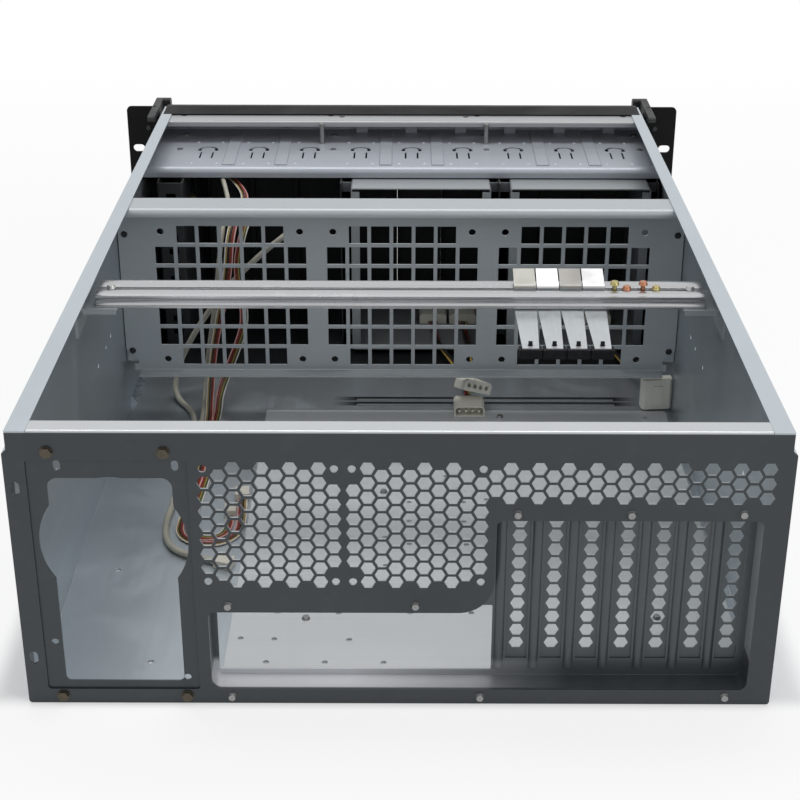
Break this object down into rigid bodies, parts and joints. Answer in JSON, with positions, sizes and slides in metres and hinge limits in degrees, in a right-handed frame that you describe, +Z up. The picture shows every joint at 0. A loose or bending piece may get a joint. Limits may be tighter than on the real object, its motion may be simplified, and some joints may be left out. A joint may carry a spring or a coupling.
{
  "type": "rackmount server case",
  "caption": "Empty rackmount server case with its top off: vented rear panel, fan wall, card hold-down bar, drive bays and front handles.",
  "frame": {"origin": "on the ground under the middle of the case's bounding box", "axes": "+Y from the rear panel to the front handles, +Z up, +X right as the rear panel is looked at"},
  "size_m": [0.4826, 0.6662, 0.177],
  "materials": {
    "zinc_sheet": "satin",
    "dark_grey_paint": "satin",
    "black_paint": "matte",
    "bright_screw": "polished",
    "brass_screw": "polished",
    "dark_screw": "satin",
    "extrusion": "satin",
    "arm_steel": "satin",
    "pad_rubber": "matte",
    "grey_plastic": "matte",
    "button_plastic": "matte",
    "lens": "gloss",
    "black_plastic": "matte",
    "white_plastic": "satin",
    "coloured_wire": "satin",
    "grey_cable": "matte",
    "power_wire": "satin"
  },
  "bodies": {
    "case": {"audio_cable": "grey_cable", "bar_bracket_left": "zinc_sheet", "bar_bracket_right": "zinc_sheet", "bar_screws": "brass_screw", "bay_channel": "zinc_sheet", "bay_covers": "grey_plastic", "bay_divider_1": "zinc_sheet", "bay_divider_2": "zinc_sheet", "bay_divider_3": "zinc_sheet", "bezel_frame": "grey_plastic", "chassis_base": "zinc_sheet", "dark_screws": "dark_screw", "drive_cage_mid": "zinc_sheet", "drive_cage_right": "zinc_sheet", "drive_plugs": "white_plastic", "drive_shelf": "zinc_sheet", "fan_wall": "zinc_sheet", "fan_wall_brackets": "zinc_sheet", "front_crossmember": "zinc_sheet", "front_panel": "black_paint", "front_panel_cable": "coloured_wire", "handle_left": "grey_plastic", "handle_right": "grey_plastic", "header_plugs": "black_plastic", "holddown_bar": "extrusion", "indicator_lenses": "lens", "io_slot_panel": "zinc_sheet", "lamp_cable": "coloured_wire", "motherboard_tray": "zinc_sheet", "pan_screws": "bright_screw", "power_lead_1": "power_wire", "power_lead_2": "power_wire", "power_lead_3": "power_wire", "power_plug_1": "white_plastic", "power_plug_2": "white_plastic", "power_plug_3": "white_plastic", "psu_plate": "zinc_sheet", "psu_plate_screws": "brass_screw", "rear_panel": "dark_grey_paint", "shelf_posts": "bright_screw", "shelf_rivets": "bright_screw", "slot_cover_1": "zinc_sheet", "slot_cover_2": "zinc_sheet", "slot_cover_3": "zinc_sheet", "slot_cover_4": "zinc_sheet", "slot_cover_5": "zinc_sheet", "slot_cover_6": "zinc_sheet", "slot_cover_7": "zinc_sheet", "switch_block": "black_plastic", "usb_cable": "grey_cable"},
    "holddown_1": {"holddown_arm_1": "arm_steel", "holddown_pad_1": "pad_rubber"},
    "holddown_2": {"holddown_arm_2": "arm_steel", "holddown_pad_2": "pad_rubber"},
    "holddown_3": {"holddown_arm_3": "arm_steel", "holddown_pad_3": "pad_rubber"},
    "holddown_4": {"holddown_arm_4": "arm_steel", "holddown_pad_4": "pad_rubber"},
    "power_button": {"power_button": "button_plastic"},
    "reset_button": {"reset_button": "button_plastic"}
  },
  "joints": [
    {"name": "holddown_slide_1", "type": "slide", "parent": "case", "child": "holddown_1", "axis": [1, 0, 0], "range_m": [-0.26, 0.004]},
    {"name": "holddown_slide_2", "type": "slide", "parent": "case", "child": "holddown_2", "axis": [1, 0, 0], "range_m": [-0.26, 0.004]},
    {"name": "holddown_slide_3", "type": "slide", "parent": "case", "child": "holddown_3", "axis": [1, 0, 0], "range_m": [-0.26, 0.004]},
    {"name": "holddown_slide_4", "type": "slide", "parent": "case", "child": "holddown_4", "axis": [1, 0, 0], "range_m": [-0.26, 0.004]},
    {"name": "power_button_press", "type": "slide", "parent": "case", "child": "power_button", "axis": [0, -1, 0], "range_m": [0, 0.002], "stiffness_N_per_m": 600, "springref_m": -0.001},
    {"name": "reset_button_press", "type": "slide", "parent": "case", "child": "reset_button", "axis": [0, -1, 0], "range_m": [0, 0.002], "stiffness_N_per_m": 600, "springref_m": -0.001}
  ],
  "couplings": [
    {"joint": "holddown_slide_2", "follows": "holddown_slide_1", "ratio": 1},
    {"joint": "holddown_slide_3", "follows": "holddown_slide_1", "ratio": 1},
    {"joint": "holddown_slide_4", "follows": "holddown_slide_1", "ratio": 1}
  ]
}
